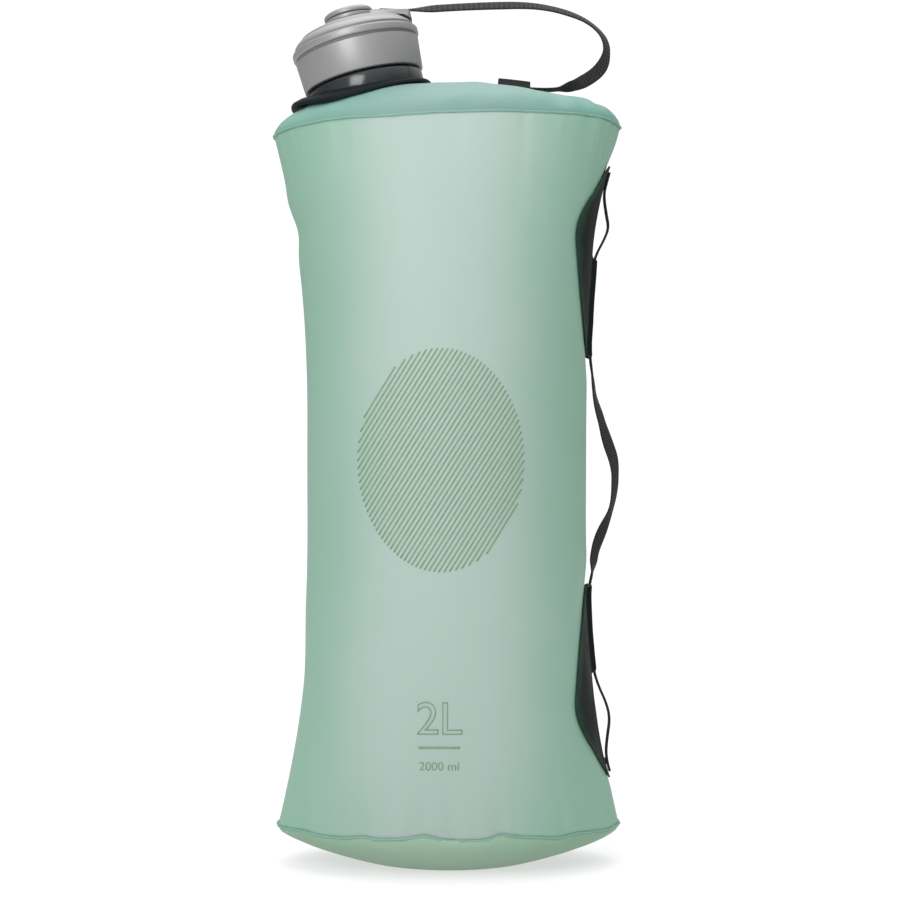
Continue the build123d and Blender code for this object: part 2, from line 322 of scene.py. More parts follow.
def gloss_plastic(name, light, deep, shine, rough):
    """Dark moulded plastic with faint flow marks."""
    f = Finish(name)
    place = f.place()
    flow = f.noise(f.stretched(place, (1.0, 1.0, 3.0)), 90.0, 3.0, 0.5)
    dust = f.noise(place, 1500.0, 2.0, 0.5)
    return f.surface(
        base_color=f.mix(flow, deep, light),
        specular_ior_level=shine,
        roughness=rough + f.band(dust, 0.5, 0.8) * 0.16,
        normal=f.bump(flow, 0.00008, 0.4),
    )


def webbing_finish(name, light, deep, ribs):
    """Flat woven webbing: UV runs round the ribbon and along it, in ribs."""
    f = Finish(name)
    around, along, _ = f.parts(f.uv())
    rib = (along * (ribs * math.tau)).sine() * 0.5 + 0.5
    pick = (around * (28 * math.tau) + along * (ribs * math.pi)).sine() * 0.5 + 0.5
    weave = rib * 0.4 + pick * 0.4 + 0.1
    fuzz = f.noise(f.place(), 1800.0, 3.0, 0.7)
    wear = f.noise(f.place(), 90.0, 3.0, 0.6)
    tone = f.mix(f.band(weave * 0.6 + fuzz * 0.4, 0.25, 0.8), deep, light)
    return f.surface(
        base_color=f.mix(f.band(wear, 0.55, 0.8) * 0.5, tone, light),
        roughness=0.78 + fuzz * 0.15,
        normal=f.bump(weave * 0.7 + fuzz * 0.3, 0.00016, 0.9),
        specular_ior_level=0.2,
        sheen_weight=0.06,
        sheen_roughness=0.4,
    )


def patch_finish(name, light, deep):
    """Welded dark film of the side patches: satin, greener and thinner towards its outline."""
    f = Finish(name)
    place = f.place()
    across, _, _ = f.parts(f.uv())
    edge = (across * 2 - 1).size()
    cloud = f.noise(place, 110.0, 4.0, 0.6)
    grain = f.noise(place, 2400.0, 2.0, 0.6)
    share = f.band(edge + (cloud - 0.5) * 0.3, 0.8, 1.05)
    return f.surface(
        base_color=f.mix(share, deep, light),
        specular_ior_level=0.07,
        roughness=0.5 + cloud * 0.16,
        normal=f.bump(grain * 0.4 + cloud * 0.6, 0.00012, 0.7),
    )


def thread_finish():
    f = Finish("thread")
    twist = f.noise(f.place(), 2200.0, 3.0, 0.7)
    return f.surface(
        base_color=f.mix(twist, (0.008, 0.008, 0.008), (0.06, 0.06, 0.055)),
        roughness=0.6 + twist * 0.25,
        normal=f.bump(twist, 0.0001, 0.8),
    )


def ink_finish():
    """Printed ink: thin, matt and a little worn."""
    f = Finish("print_ink")
    wear = f.noise(f.place(), 900.0, 4.0, 0.7)
    return f.surface(
        base_color=f.mix(f.band(wear, 0.3, 0.75), (0.13, 0.22, 0.12), (0.19, 0.29, 0.17)),
        roughness=0.55 + wear * 0.2,
        normal=f.bump(wear, 0.00003, 0.5),
    )


def soft_rubber(name, light, deep):
    f = Finish(name)
    cloud = f.noise(f.place(), 400.0, 3.0, 0.6)
    return f.surface(
        base_color=f.mix(cloud, deep, light),
        roughness=0.5 + cloud * 0.2,
        normal=f.bump(cloud, 0.00005, 0.5),
    )


def floor_finish():
    f = Finish("floor")
    cloud = f.noise(f.place(), 3.0, 2.0, 0.5)
    return f.surface(
        base_color=f.mix(cloud, (0.31, 0.31, 0.31), (0.33, 0.33, 0.33)),
        roughness=0.8 + cloud * 0.1,
        emission_color=(1.0, 1.0, 1.0),
        emission_strength=0.58,
    )


# In each film below, the second colour is the painted shade at its sides.
film_side = film_finish("film_side", (0.42, 0.535, 0.49), (0.265, 0.465, 0.36))
# Painted shade: the top film is a darker copy of the same film, for the dome's shaded look.
film_top_painted_shade = film_finish("film_top_painted_shade", (0.207, 0.366, 0.325), (0.18, 0.38, 0.32))
# Painted light: the foot film is a copy of the same film with its colours brightened, standing in for light
# bounced up from the floor.
film_foot_painted_light = film_finish("film_foot_painted_light", (0.345, 0.505, 0.375), (0.275, 0.45, 0.315))
film_weld = film_finish("film_weld", (0.18, 0.33, 0.265), (0.145, 0.305, 0.23), through=0.1)
cap_grey = satin_plastic("cap_grey", (0.28, 0.28, 0.28), (0.21, 0.21, 0.21), 0.42, 0.5)
liner_grey = satin_plastic("liner_grey", (0.55, 0.55, 0.53), (0.48, 0.48, 0.46), 0.5)
neck_black = gloss_plastic("neck_black", (0.009, 0.013, 0.014), (0.004, 0.007, 0.008), 0.5, 0.16)
flange_black = gloss_plastic("flange_black", (0.008, 0.013, 0.013), (0.004, 0.007, 0.007), 0.06, 0.5)
webbing = webbing_finish("webbing", (0.040, 0.042, 0.039), (0.008, 0.009, 0.008), 150)
strap_webbing = webbing_finish("strap_webbing", (0.034, 0.038, 0.034), (0.007, 0.008, 0.007), 230)
patch_dark = patch_finish("patch_dark", (0.015, 0.040, 0.027), (0.004, 0.008, 0.006))
thread = thread_finish()
ink = ink_finish()
seal_rubber = soft_rubber("seal_rubber", (0.68, 0.68, 0.66), (0.6, 0.6, 0.58))


# ---------------------------------------------------------------- mesh helpers

def as_piece(name, bm, material):
    """A finished bmesh as an object at the origin, with its material."""
    mesh = bpy.data.meshes.new(name)
    for face in bm.faces:
        face.smooth = True
    bm.to_mesh(mesh)
    bm.free()
    mesh.materials.append(material)
    piece = bpy.data.objects.new(name, mesh)
    bpy.context.collection.objects.link(piece)
    return piece


def mapped_grid(u_count, v_count, place, bm=None):
    """A grid whose vertices go to place(u, v), both from 0 to 1, with u and v kept as its UV map."""
    bm = bm or bmesh.new()
    uv = bm.loops.layers.uv.verify()
    made = bmesh.ops.create_grid(bm, x_segments=u_count, y_segments=v_count, size=0.5)["verts"]
    faces = {face for vertex in made for face in vertex.link_faces}
    for face in faces:
        for loop in face.loops:
            loop[uv].uv = (loop.vert.co.x + 0.5, loop.vert.co.y + 0.5)
    for vertex in made:
        vertex.co = place(vertex.co.x + 0.5, vertex.co.y + 0.5)
    return bm


def join_seams(bm, reach=1e-6):
    bmesh.ops.remove_doubles(bm, verts=bm.verts, dist=reach)
    bmesh.ops.dissolve_degenerate(bm, edges=bm.edges, dist=1e-7)
    return bm


def close_ends(bm):
    open_edges = [edge for edge in bm.edges if edge.is_boundary]
    bmesh.ops.holes_fill(bm, edges=open_edges, sides=0)
    bmesh.ops.recalc_face_normals(bm, faces=bm.faces)


def face_away(bm, centre_of):
    """Turns an open sheet's faces so that they point away from centre_of(point)."""
    bm.normal_update()
    vote = 0.0
    for face in bm.faces:
        middle = face.calc_center_median()
        vote += face.normal.dot(middle - centre_of(middle))
    if vote < 0:
        bmesh.ops.reverse_faces(bm, faces=bm.faces)


def middle_line(point):
    """The point of the bag's upright middle line at the same height."""
    return Vector((0, 0, point.z))


def thicken(piece, thick, offset=-1.0):
    """A live wall thickness on a sheet: offset -1 grows inwards and 1 outwards."""
    wall = piece.modifiers.new("wall", "SOLIDIFY")
    wall.thickness = thick
    wall.offset = offset
    wall.use_even_offset = True
    return piece


def round_edges(piece, width, segments=3, angle=28):
    """Rounds every edge sharper than the angle."""
    bevel = piece.modifiers.new("round", "BEVEL")
    bevel.limit_method = "ANGLE"
    bevel.angle_limit = math.radians(angle)
    bevel.width = width
    bevel.segments = segments
    return piece


def spun(outline, steps=160):
    """A closed (radius, height) outline in millimetres, turned about the Z axis."""
    bm = bmesh.new()
    corners = [bm.verts.new((radius * MM, 0, height * MM)) for radius, height in outline]
    edges = [bm.edges.new((a, b)) for a, b in zip(corners, corners[1:] + corners[:1])]
    bmesh.ops.spin(
        bm, geom=corners + edges, cent=(0, 0, 0), axis=(0, 0, 1), angle=math.tau, steps=steps, use_merge=True
    )
    bmesh.ops.remove_doubles(bm, verts=bm.verts, dist=1e-6)
    bmesh.ops.recalc_face_normals(bm, faces=bm.faces)
    return bm


def thread_ridge(bm, radius, outwards, start, rise):
    """One ridge of the screw thread, in millimetres: it stands out from the radius for 1 and in for -1."""
    base, tip = radius - THREAD_SUNK * outwards, radius + THREAD_DEPTH * outwards
    root, crest = THREAD_ROOT / 2, THREAD_CREST / 2
    section = [(base, -root), (tip, -crest), (tip, crest), (base, root)]
    corners = [bm.verts.new((r * MM, 0, (start + h) * MM)) for r, h in section]
    face = bm.faces.new(corners)
    steps = int(96 * rise / THREAD_PITCH)
    bmesh.ops.spin(
        bm,
        geom=[face],
        cent=(0, 0, 0),
        axis=(0, 0, 1),
        dvec=(0, 0, rise * MM / steps),
        angle=math.tau * rise / THREAD_PITCH,
        steps=steps,
    )
    bmesh.ops.recalc_face_normals(bm, faces=bm.faces)


def smoothstep(low, high, value):
    share = min(1.0, max(0.0, (value - low) / (high - low)))
    return share * share * (3 - 2 * share)


def bell(distance, width):
    return math.exp(-((distance / width) ** 2))


def between(keys, value):
    """A smooth value read from (place, value) keys."""
    if value <= keys[0][0]:
        return keys[0][1]
    for (place_a, value_a), (place_b, value_b) in zip(keys, keys[1:]):
        if value <= place_b:
            return value_a + (value_b - value_a) * smoothstep(place_a, place_b, value)
    return keys[-1][1]


# ---------------------------------------------------------------- the bag's form

def half_width(z):
    """Half the width of the film at height z."""
    if z > WAIST_Z:
        share, power = (z - WAIST_Z) / (TOP_SEAM_Z - WAIST_Z), TOP_FLARE
    else:
        share, power = (WAIST_Z - z) / (WAIST_Z - LOW_SEAM_Z), LOW_FLARE
    return WAIST_RADIUS + (END_HALF_WIDTH - WAIST_RADIUS) * min(1.0, share) ** power


def half_depth(width):
    """Half the depth of the oval with the waist's girth."""
    depth = WAIST_RADIUS
    for _ in range(12):
        spread = ((width - depth) / (width + depth)) ** 2
        depth = 2 * WAIST_RADIUS / (1 + spread / 4) - width
    return depth


def low_wave(turn):
    """How far the low seam stands above its mean height."""
    wave = noise.noise(Vector((3.2 * math.cos(turn), 3.2 * math.sin(turn), 5.0))) * 1.1
    for centre, height in ((4.60, 1.3), (5.03, 1.5), (4.22, 0.7), (5.52, 0.6), (1.9, 1.2), (1.2, 1.0)):
        wave += height * bell(turn - centre, 0.075)
    return (wave - 0.3) * MM


def top_wave(turn):
    """How far the top seam stands above its mean height: it also climbs towards the strap's side."""
    wave = noise.noise(Vector((2.4 * math.cos(turn), 2.4 * math.sin(turn), 9.0))) * 0.7
    return (wave + 2.0 * math.cos(turn)) * MM


def crease(turn, z):
    """How far the film stands proud of its plain form."""
    c, s = math.cos(turn), math.sin(turn)
    from_top, from_foot = TOP_SEAM_Z - z, z - LOW_SEAM_Z
    broad = noise.noise(Vector((1.7 * c, 1.7 * s, z * 17.0))) * 0.45
    gathers = noise.noise(Vector((7.5 * c, 7.5 * s, z * 9.0 + 20.0)))
    fine = noise.noise(Vector((16.0 * c, 16.0 * s, z * 14.0 + 40.0)))
    top_pull = math.exp(-from_top / (16 * MM))
    foot_pull = math.exp(-from_foot / (13 * MM))
    wrinkles = (gathers * 0.9 + fine * 0.35) * (0.9 * top_pull + 1.25 * foot_pull)
    far_turn = abs(math.remainder(turn - math.pi, math.tau))
    kink = -1.3 * bell(far_turn, 0.5) * bell(z - 229 * MM, 6.5 * MM)
    kink += 0.5 * bell(far_turn, 0.45) * bell(z - 241 * MM, 6 * MM)
    kink -= 1.6 * bell(far_turn, 0.5) * (1 - smoothstep(62 * MM, 96 * MM, z))
    near_turn = abs(math.remainder(turn, math.tau))
    held = smoothstep(172 * MM, 192 * MM, z) * (1 - smoothstep(250 * MM, 262 * MM, z))
    held += smoothstep(26 * MM, 40 * MM, z) * (1 - smoothstep(96 * MM, 112 * MM, z))
    dent = -bell(near_turn, 0.42) * (1.4 * held + 1.6 * bell(z - 232 * MM, 20 * MM))
    return (broad + wrinkles + kink + dent) * MM


def side_point(turn, z, lift=0.0):
    """A point of the side film's outer face, or above it. Turn 0 is the strap's side, 3/4 turn the front."""
    width = half_width(z)
    depth = half_depth(width)
    c, s = math.cos(turn), math.sin(turn)
    normal = Vector((c / width, s / depth, 0)).normalized()
    return Vector((width * c, depth * s, z)) + normal * (crease(turn, z) + lift)


def seam_point(turn, top):
    """The edge of the side film at the top or the low seam, with the seam's wave."""
    wave = top_wave(turn) if top else low_wave(turn)
    point = side_point(turn, TOP_SEAM_Z if top else LOW_SEAM_Z)
    return point + Vector((0, 0, wave))


def side_film(name, start_turn, node):
    """Half of the bag's side, with its two ends on the wavy seams."""
    def place(u, v):
        turn = start_turn + math.pi * u
        z = LOW_SEAM_Z + (TOP_SEAM_Z - LOW_SEAM_Z) * v
        point = side_point(turn, z)
        point.z += low_wave(turn) * (1 - smoothstep(0, 0.09, v))
        point.z += top_wave(turn) * smoothstep(0.86, 1, v)
        return point

    bm = mapped_grid(176, 150, place)
    face_away(bm, middle_line)
    piece = thicken(as_piece(name, bm, film_side), FILM)
    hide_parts(node)
    return piece


def dome_z(x, y):
    """Height of the top panel's outer face."""
    inside = 1 - (x / END_HALF_WIDTH) ** 2 - (y / END_HALF_DEPTH) ** 2
    return TOP_SEAM_Z + DOME_RISE * math.sqrt(max(0.0, inside))


def top_film():
    """The domed top: half an ellipsoid with a hole for the neck, soft swells and a wavy rim."""
    bm = bmesh.new()
    bmesh.ops.create_uvsphere(bm, u_segments=176, v_segments=96, radius=1.0)
    whole = bm.verts[:] + bm.edges[:] + bm.faces[:]
    bmesh.ops.bisect_plane(bm, geom=whole, plane_co=(0, 0, 0.001), plane_no=(0, 0, 1), clear_inner=True)
    inverse = NECK.inverted()
    for vertex in bm.verts:
        x, y, up = vertex.co
        turn = math.atan2(y, x) % math.tau
        out = math.hypot(x, y)
        rim = smoothstep(0.72, 1.0, out)
        swell = noise.noise(Vector((x * 2.6, y * 2.2, 3.0))) * 0.9
        pucker = noise.noise(Vector((x * 9.0, y * 6.0, 8.0))) * 0.7
        near_neck = bell((x * END_HALF_WIDTH - NECK_BASE.x), 34 * MM) * (1 - rim)
        lift = (swell + pucker * (0.4 + rim)) * MM * (1 - 0.7 * near_neck)
        edge = 1 + crease(turn, TOP_SEAM_Z) / END_HALF_WIDTH * rim
        vertex.co = Vector((
            x * END_HALF_WIDTH * edge,
            y * END_HALF_DEPTH * edge,
            TOP_SEAM_Z + DOME_RISE * up + lift * smoothstep(0.0, 0.3, up) + top_wave(turn) * rim,
        ))
    hole = [v for v in bm.verts if (inverse @ v.co).xy.length < NECK_HOLE_RADIUS * MM and v.co.z > TOP_SEAM_Z]
    bmesh.ops.delete(bm, geom=hole, context="VERTS")
    face_away(bm, lambda point: Vector((0, 0, TOP_SEAM_Z)))
    piece = thicken(as_piece("top_film", bm, film_top_painted_shade), FILM)
    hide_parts("top_panel")
    return piece


def foot_film():
    """The bottom film: an almost flat oval foot that curves up to the low seam."""
    def place(u, v):
        turn = math.tau * u
        bend = max(0.0, (v - FOOT_FLAT_SHARE) / (1 - FOOT_FLAT_SHARE))
        flat = min(1.0, v / FOOT_FLAT_SHARE)
        lean = bend * math.pi / 2
        spread = math.sin(lean) ** FOOT_BEND
        width = FOOT_HALF_WIDTH * flat + (END_HALF_WIDTH - FOOT_HALF_WIDTH) * spread
        depth = FOOT_HALF_DEPTH * flat + (END_HALF_DEPTH - FOOT_HALF_DEPTH) * spread
        c, s = math.cos(turn), math.sin(turn)
        curl = FOOT_CURL * ((width * c - FOOT_LOWEST_X) / FOOT_CURL_AT) ** 2
        rise = LOW_SEAM_Z * (1 - math.cos(lean)) + curl * math.cos(lean)
        pull = smoothstep(0.5, 1.0, v)
        fold = noise.noise(Vector((6.0 * c, 6.0 * s, v * 3.0 + 60.0))) * 0.9 * MM * pull
        grown = 1 + (crease(turn, LOW_SEAM_Z) * pull + fold * (1 - pull)) / END_HALF_WIDTH
        lift = low_wave(turn) * smoothstep(0.7, 1.0, v)
        lift += max(0.0, fold) * 0.6 * (1 - smoothstep(0.85, 1.0, v))
        return Vector((width * c * grown, depth * s * grown, rise + lift))

    bm = join_seams(mapped_grid(176, 44, place))
    face_away(bm, lambda point: Vector((0, 0, 2 * LOW_SEAM_Z)))
    piece = thicken(as_piece("foot_film", bm, film_foot_painted_light), FILM)
    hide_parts("bottom_panel")
    return piece


def weld_bead(name, top):
    """The welded edge all round a seam: a flat lip with small ears at the two sides."""
    def place(u, v):
        turn = math.tau * u
        point = seam_point(turn, top)
        c, s = math.cos(turn), math.sin(turn)
        outward = Vector((c / END_HALF_WIDTH, s / END_HALF_DEPTH, 0)).normalized()
        around = math.tau * v
        ear = bell(math.sin(turn), 0.16) * (0.5 if top else 0.7)
        crimp = noise.noise(Vector((22.0 * c, 22.0 * s, 70.0))) * 0.16
        out = (0.02 + (0.34 + 0.5 * ear + crimp) * math.cos(around)) * MM
        up = (0.42 + 0.1 * crimp) * math.sin(around) * MM
        return point + outward * out + Vector((0, 0, up - 0.3 * ear * MM * (1 if top else -1)))

    bm = join_seams(mapped_grid(264, 10, place))
    bmesh.ops.recalc_face_normals(bm, faces=bm.faces)
    return as_piece(name, bm, film_weld)


# ---------------------------------------------------------------- neck and cap

def neck_spout():
    """The collar, the threaded tube and the flange that follows the top film."""
    outline = [
        (16.5, -3.6), (18.5, -3.6),
        (18.5, -2.6), (21.3, -2.6), (21.3, 2.4), (20.9, 3.3), (20.2, 3.6), (18.5, 3.6),
        (18.5, 12.9), (18.0, 13.4), (17.0, 13.4), (16.5, 13.0),
    ]
    bm = spun(outline)
    for vertex in bm.verts:
        if vertex.co.z < -2.5 * MM and vertex.co.xy.length > 18.0 * MM:
            foot = NECK @ vertex.co
            vertex.co += Vector((0, 0, max(0.0, dome_z(foot.x, foot.y) + 0.2 * MM - foot.z)))
    thread_ridge(bm, NECK_RADIUS, 1, start=5.4, rise=6.0)
    bm.transform(NECK)
    section = [(17.0, 0.0), (25.9, 0.0), (26.4, 0.4), (26.4, 1.5), (25.9, 2.05), (24.0, 2.2), (17.0, 2.2)]

    def place(u, v):
        turn = math.tau * u
        step = v * len(section)
        radius, height = section[int(step) % len(section)]
        set_back = FLANGE_SET_BACK if radius > NECK_RADIUS else 0
        flat = NECK @ Vector(((radius * math.cos(turn) - set_back) * MM, radius * math.sin(turn) * MM, 0))
        return Vector((flat.x, flat.y, dome_z(flat.x, flat.y))) + NECK_AXIS * (height * MM)

    flange = join_seams(mapped_grid(160, len(section), place))
    bmesh.ops.recalc_face_normals(flange, faces=flange.faces)
    collar = round_edges(as_piece("neck_tube", bm, neck_black), 0.25 * MM)
    rim = round_edges(as_piece("neck_flange", flange, flange_black), 0.3 * MM)
    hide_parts("neck_spout")
    return collar, rim


def cap_shell():
    """The cap, from its open end up the skirt, over the lip and the stepped crown, and back down inside."""
    outline = [
        (20.0, 3.9), (21.6, 3.9), (22.0, 4.2), (22.85, 15.2),
        (22.5, 15.35), (22.2, 15.7), (22.2, 16.1), (23.1, 16.2), (23.4, 16.6), (23.4, 18.5), (23.1, 18.9),
        (22.3, 18.95), (21.9, 19.3), (22.3, 20.0), (21.9, 20.75), (21.2, 21.5), (20.2, 22.3), (19.7, 22.6),
        (19.35, 22.65), (19.2, 23.1), (18.9, 23.45), (16.8, 24.25), (14.2, 25.05), (11.6, 25.75),
        (9.9, 26.15), (9.3, 26.2), (3.45, 26.2), (3.45, 24.2),
        (11.0, 23.6), (16.6, 21.4), (18.4, 18.8), (18.4, 16.8), (20.0, 16.8),
    ]
    bm = spun(outline)
    thread_ridge(bm, CAP_THREAD_RADIUS, -1, start=7.4, rise=5.4)
    bm.transform(NECK)
    piece = round_edges(as_piece("cap", bm, cap_grey), 0.16 * MM, 3, 32)
    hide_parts("cap_shell")
    return piece


def swivel_pin():
    """The snap pin: barb, shank and domed head."""
    outline = [
        (0, 21.8), (3.0, 21.8), (4.3, 23.2), (4.3, 23.8), (3.4, 24.1), (3.4, 26.2), (4.9, 26.2), (4.9, 28.2),
        (8.7, 28.2), (9.0, 28.5), (9.0, 29.4), (8.7, 29.9), (7.9, 30.4), (6.3, 30.75), (4.0, 30.93),
        (0, 31.0),
    ]
    bm = spun(outline, 128)
    bm.transform(NECK)
    piece = round_edges(as_piece("pin_head", bm, cap_grey), 0.14 * MM, 3, 32)
    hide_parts("swivel_pin")
    return piece


def leash_swivel():
    """The ring round the pin, and the arm that runs down over the crown to the leash."""
    bm = spun([(5.0, 26.4), (8.9, 26.4), (9.1, 26.7), (9.1, 27.7), (8.8, 28.0), (5.0, 28.0)], 128)
    side = [
        (6.2, 26.42), (9.8, 26.6), (14.8, 25.35), (19.8, 23.7),
        (ARM_END, 21.7), (ARM_END, 24.7), (21.7, 25.15), (9.8, 28.0), (6.2, 27.95),
    ]
    corners = [bm.verts.new((x * MM, -ARM_HALF_WIDTH * MM, z * MM)) for x, z in side]
    face = bm.faces.new(corners)
    made = bmesh.ops.extrude_face_region(bm, geom=[face])["geom"]
    moved = [v for v in made if isinstance(v, bmesh.types.BMVert)]
    bmesh.ops.translate(bm, verts=moved, vec=(0, 2 * ARM_HALF_WIDTH * MM, 0))
    upright = []
    for edge in bm.edges:
        a, b = (vertex.co for vertex in edge.verts)
        at_end = max(abs(a.x - ARM_END * MM), abs(b.x - ARM_END * MM)) < 1e-6
        if at_end and abs(a.y - b.y) < 1e-7:
            upright.append(edge)
    bmesh.ops.bevel(
        bm, geom=upright, offset=1.6 * MM, offset_type="OFFSET",
        segments=6, profile=0.5, affect="EDGES", material=-1,
    )
    bmesh.ops.recalc_face_normals(bm, faces=bm.faces)
    bm.transform(NECK)
    piece = round_edges(as_piece("swivel", bm, cap_grey), 0.3 * MM, 3)
    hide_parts("leash_swivel")
    return piece


# ---------------------------------------------------------------- webbing

def drawn_mesh(data):
    """The mesh that a curve or a text makes."""
    holder = bpy.data.objects.new(data.name, data)
    bpy.context.collection.objects.link(holder)
    bpy.context.view_layer.update()
    mesh = bpy.data.meshes.new_from_object(holder.evaluated_get(bpy.context.evaluated_depsgraph_get()))
    bpy.data.objects.remove(holder)
    return mesh


def smooth_line(points):
    """Points along the smooth curve, in the plane y = 0, of (x, z) control points in millimetres."""
    data = bpy.data.curves.new("route", "CURVE")
    data.dimensions = "3D"
    data.resolution_u = 10
    spline = data.splines.new("NURBS")
    spline.points.add(len(points) - 1)
    for target, (x, z) in zip(spline.points, points):
        target.co = (x * MM, 0, z * MM, 1)
    spline.order_u = 3
    spline.use_endpoint_u = True
    mesh = drawn_mesh(data)
    line = [vertex.co.copy() for vertex in mesh.vertices]
    bpy.data.meshes.remove(mesh)
    return line


def line_length(line):
    return sum((b - a).length for a, b in zip(line, line[1:]))


def ribbon(name, line, width, thick, twist_of, material):
    """Flat webbing along a line in the plane y = 0, turned about it by twist_of(share, point) degrees."""
    total = line_length(line)
    reached = [0.0]
    for a, b in zip(line, line[1:]):
        reached.append(reached[-1] + (b - a).length / total)

    def place(u, v):
        i = min(len(line) - 1, round(v * (len(line) - 1)))
        before, after = line[max(0, i - 1)], line[min(len(line) - 1, i + 1)]
        ahead = (after - before).normalized()
        side = Vector((0, 1, 0))
        out = ahead.cross(side)
        twist = math.radians(twist_of(reached[i], line[i]))
        across = side * math.cos(twist) + out * math.sin(twist)
        through = ahead.cross(across)
        turn = math.tau * u
        c, s = math.cos(turn), math.sin(turn)
        flat = math.copysign(abs(c) ** 0.35, c) * width / 2
        deep = math.copysign(abs(s) ** 0.8, s) * thick / 2
        return line[i] + across * flat + through * deep

    bm = mapped_grid(28, len(line) - 1, place)
    uv = bm.loops.layers.uv.verify()
    for face in bm.faces:
        for loop in face.loops:
            loop[uv].uv.y *= total / WEAVE_REPEAT
    join_seams(bm, 1e-7)
    close_ends(bm)
    return as_piece(name, bm, material)


# Control points (x, z) in millimetres, from the arm of the swivel to the end past the bridge.
LEASH_ROUTE = [
    (-24.6, 311.1),
    (-13.4, 311.1),
    (2.0, 312.2),
    (16.5, 312.8),
    (30.5, 313.0),
    (42.0, 311.0),
    (52.5, 306.8),
    (59.0, 299.6),
    (57.6, 290.6),
    (50.5, 284.9),
    (41.5, 282.1),
    (33.0, 281.9),
    (24.5, 282.75),
    (15.0, 283.35),
    (8.4, 283.5),
]
# Twist in degrees: at a share of the leash's length, and at a height on the strap's handle.
LEASH_TWIST = [
    (0, 4), (0.06, 14), (0.14, 42), (0.3, 44), (0.45, 34), (0.55, 24), (0.61, 32), (0.67, 68), (0.71, 64),
    (0.745, 38), (0.785, 0),
]
HANDLE_ROUTE = [
    (53.4, 176.0),
    (54.0, 169.5),
    (56.2, 162.0),
    (58.6, 153.5),
    (61.3, 146.0),
    (61.6, 138.0),
    (60.4, 129.0),
    (56.6, 120.5),
    (54.0, 113.5),
    (53.3, 106.0),
]
HANDLE_TWIST = [
    (104 * MM, 0), (111 * MM, 45), (119 * MM, 62), (129 * MM, 24), (140 * MM, 40), (151 * MM, 72),
    (162 * MM, 40), (173 * MM, 14), (182 * MM, 0),
]
UPPER_SLACK = [(55.0, 222.6), (57.6, 227.4), (59.2, 231.6), (58.2, 236.6), (57.3, 243.5)]
LOWER_SLACK = [(55.4, 64.0), (58.4, 57.5), (59.6, 52.0), (58.6, 45.5)]


def sleeve_x(z):
    """Where the strap's middle runs inside a sleeve, in millimetres, at a height in millimetres."""
    return (side_point(0, z * MM).x + PATCH_GAP + PATCH_THICK + SLEEVE_ROOM / 2) / MM


def strap_route():
    """The side strap's whole route: sewn tip, slack, sleeve, handle, sleeve, slack, sewn tip."""
    tip_gap = PATCH_GAP + PATCH_THICK + STRAP_THICK / 2 + 0.15 * MM
    route = [((side_point(0, z * MM).x + tip_gap) / MM, z) for z in (251.5, 248.0)]
    route += reversed(UPPER_SLACK)
    route += [(sleeve_x(z), z) for z in (219.0, 208.0, 196.5, 186.0)]
    route += HANDLE_ROUTE
    route += [(sleeve_x(z), z) for z in (99.5, 89.0, 78.5, 70.0)]
    route += LOWER_SLACK
    route += [((side_point(0, z * MM).x + tip_gap) / MM, z) for z in (38.0, 33.0)]
    return route


def declare_cord(line):
    """Reads the line's first point and its length, and keeps neither."""
    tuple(line[0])
    line_length(line)


def leash_twist(share, _):
    return between(LEASH_TWIST, share)


def strap_twist(_, point):
    return between(HANDLE_TWIST, point.z)


def leash():
    line = smooth_line(LEASH_ROUTE)
    piece = ribbon("leash_webbing", line, LEASH_WIDTH, LEASH_THICK, leash_twist, webbing)
    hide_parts("leash")
    declare_cord(line)
    return piece


def side_strap():
    line = smooth_line(strap_route())
    piece = ribbon("side_strap_webbing", line, STRAP_WIDTH, STRAP_THICK * 0.9, strap_twist, strap_webbing)
    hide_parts("side_strap")
    declare_cord(line)
    return piece


def stitch_block(bm, centre, along, across, out, width, rows=7):
    """A bar tack: short bars of thread side by side across the webbing."""
    turn = Matrix((across, along, out)).transposed().to_4x4()
    for row in range(rows):
        shift = (row - (rows - 1) / 2) * 0.32 * MM
        place = Matrix.Translation(centre + along * shift)
        size = Matrix.Diagonal((width, 0.3 * MM, 0.34 * MM, 1))
        made = bmesh.ops.create_cube(bm, size=1.0, matrix=place @ turn @ size)["verts"]
        edges = list({edge for vertex in made for edge in vertex.link_edges})
        bmesh.ops.bevel(
            bm, geom=edges, offset=0.1 * MM, offset_type="OFFSET",
            segments=2, profile=0.5, affect="EDGES", material=-1,
        )


def tack_on(bm, line, index, thick, width, side):
    """Adds a bar tack to a ribbon's face at a point of its line."""
    ahead = (line[index + 1] - line[index - 1]).normalized()
    across = Vector((0, 1, 0))
    out = ahead.cross(across) * side
    stitch_block(bm, line[index] + out * (thick / 2 + 0.08 * MM), ahead, across, out, width)


def strap_tacks():
    bm = bmesh.new()
    strap_line = smooth_line(strap_route())
    leash_line = smooth_line(LEASH_ROUTE)
    tack_on(bm, strap_line, 4, STRAP_THICK, STRAP_WIDTH * 0.82, -1)
    tack_on(bm, strap_line, len(strap_line) - 5, STRAP_THICK, STRAP_WIDTH * 0.82, -1)
    tack_on(bm, leash_line, len(leash_line) - 4, LEASH_THICK, LEASH_WIDTH * 0.82, 1)
    piece = as_piece("strap_stitching", bm, thread)
    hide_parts("strap_tacks")
    return piece


def swivel_tack():
    bm = bmesh.new()
    tack_on(bm, smooth_line(LEASH_ROUTE), 4, LEASH_THICK, LEASH_WIDTH * 0.82, -1)
    piece = as_piece("arm_stitching", bm, thread)
    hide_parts("swivel_tack")
    return piece


